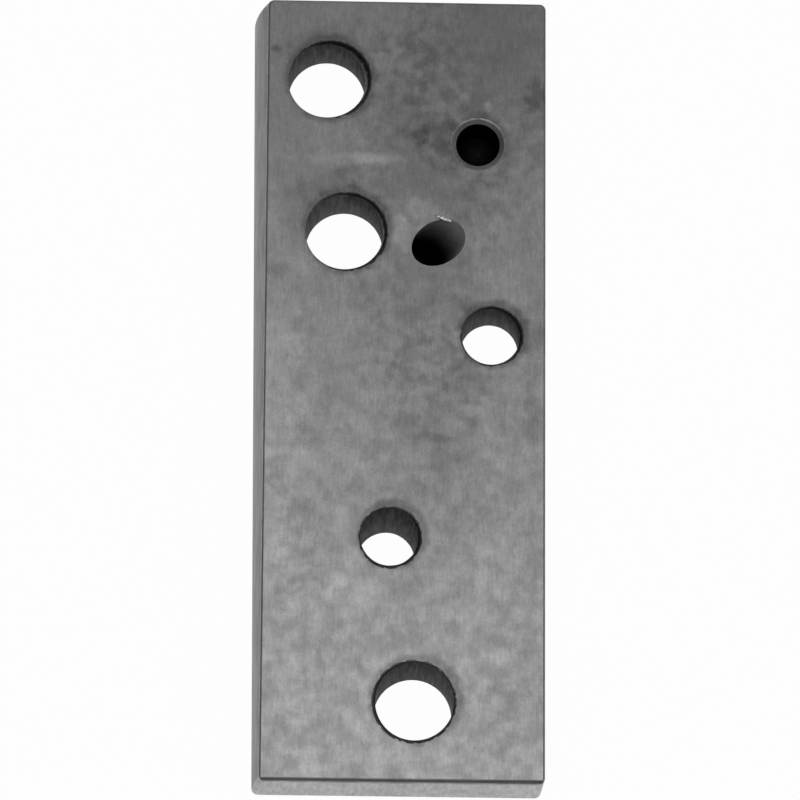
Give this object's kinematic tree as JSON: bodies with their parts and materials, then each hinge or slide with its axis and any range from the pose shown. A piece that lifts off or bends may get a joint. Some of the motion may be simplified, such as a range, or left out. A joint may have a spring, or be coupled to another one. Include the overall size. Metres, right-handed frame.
{
  "type": "mounting block",
  "caption": "Flat rectangular steel bar block, drilled right through for bolts, with blind pin holes of which one is drilled on a slant; bolts down flat and carries other parts.",
  "frame": {"origin": "centre of the bounding box's bottom, on the back face that the block lies on", "axes": "+Z leaves the ground front face, +Y runs along the bar to its far end, +X points to the square right flank"},
  "size_m": [0.0366, 0.1, 0.01],
  "materials": {
    "ground_steel": "dull ground steel, faintly clouded, bare"
  },
  "bodies": {
    "root": {"mounting_block": "ground_steel"}
  },
  "joints": []
}
